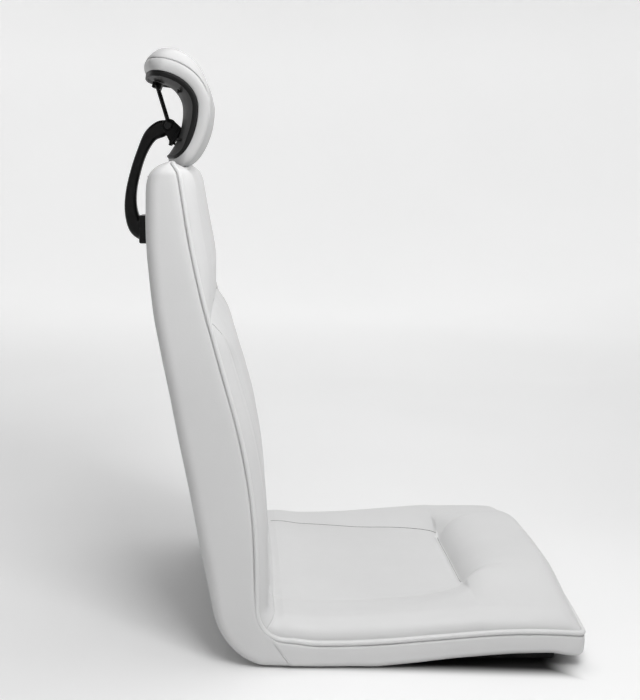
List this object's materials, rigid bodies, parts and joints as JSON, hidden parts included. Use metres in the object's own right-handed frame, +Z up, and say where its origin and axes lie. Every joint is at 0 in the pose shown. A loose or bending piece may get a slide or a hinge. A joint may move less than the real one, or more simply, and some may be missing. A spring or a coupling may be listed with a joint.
{
  "type": "padded seat and back shell with adjustable headrest",
  "caption": "Legless upholstered seat and tall back joined in one piece, piped round the edge, with a headrest on a curved arm that rises and tilts.",
  "frame": {"origin": "centre of the four base bolts, on the underside of the seat", "axes": "+Z up, the sitter faces -Y, +X to the sitter's left"},
  "size_m": [0.5302, 0.7478, 0.977],
  "materials": {
    "plywood": "matte",
    "zinc_steel": "satin",
    "seat_padding": "matte",
    "dust_cloth": "matte",
    "grey_leather": "satin",
    "piping_leather": "satin",
    "headrest_leather": "satin",
    "arm_plastic": "gloss",
    "shell_plastic": "satin",
    "nylon": "satin",
    "black_steel": "satin",
    "rubber": "matte"
  },
  "bodies": {
    "chair": {"seat_board": "plywood", "base_t_nuts": "zinc_steel", "back_board": "plywood", "corner_brackets": "zinc_steel", "bracket_screws": "zinc_steel", "seat_foam": "seat_padding", "back_foam": "seat_padding", "rear_foam": "seat_padding", "lumbar_pad": "seat_padding", "shoulder_pad": "seat_padding", "back_bolster_right": "seat_padding", "back_bolster_left": "seat_padding", "seat_pad": "seat_padding", "front_roll_pad": "seat_padding", "seat_bolster_right": "seat_padding", "seat_bolster_left": "seat_padding", "seat_cover": "grey_leather", "back_cover": "grey_leather", "seat_boxing": "grey_leather", "back_gusset_right": "grey_leather", "back_gusset_left": "grey_leather", "rear_cover": "grey_leather", "edge_piping": "piping_leather", "bottom_cloth": "dust_cloth", "headrest_rail": "black_steel", "rail_stops": "shell_plastic", "rail_screws": "black_steel", "rail_packer": "plywood"},
    "arm": {"arm_slider": "nylon", "headrest_arm": "arm_plastic", "foot_screws": "zinc_steel", "friction_plug": "rubber", "plug_spring": "zinc_steel", "eye_bush": "nylon"},
    "headrest": {"headrest_shell": "shell_plastic", "headrest_board": "plywood", "headrest_foam": "seat_padding", "headrest_front_cover": "headrest_leather", "headrest_side_band": "headrest_leather", "shell_screws": "black_steel", "hinge_bracket": "shell_plastic", "hinge_screws": "black_steel", "hinge_pin": "black_steel", "pin_clip": "black_steel", "friction_washers": "nylon", "headrest_stay": "black_steel", "stay_clip": "shell_plastic"}
  },
  "joints": [
    {"name": "headrest_height", "type": "slide", "parent": "chair", "child": "arm", "axis": [0, 0, 1], "range_m": [0, 0.05]},
    {"name": "headrest_tilt", "type": "hinge", "parent": "arm", "child": "headrest", "pos_m": [0, 0.376, 0.849], "axis": [-1, 0, 0], "range_deg": [0, 35]}
  ]
}
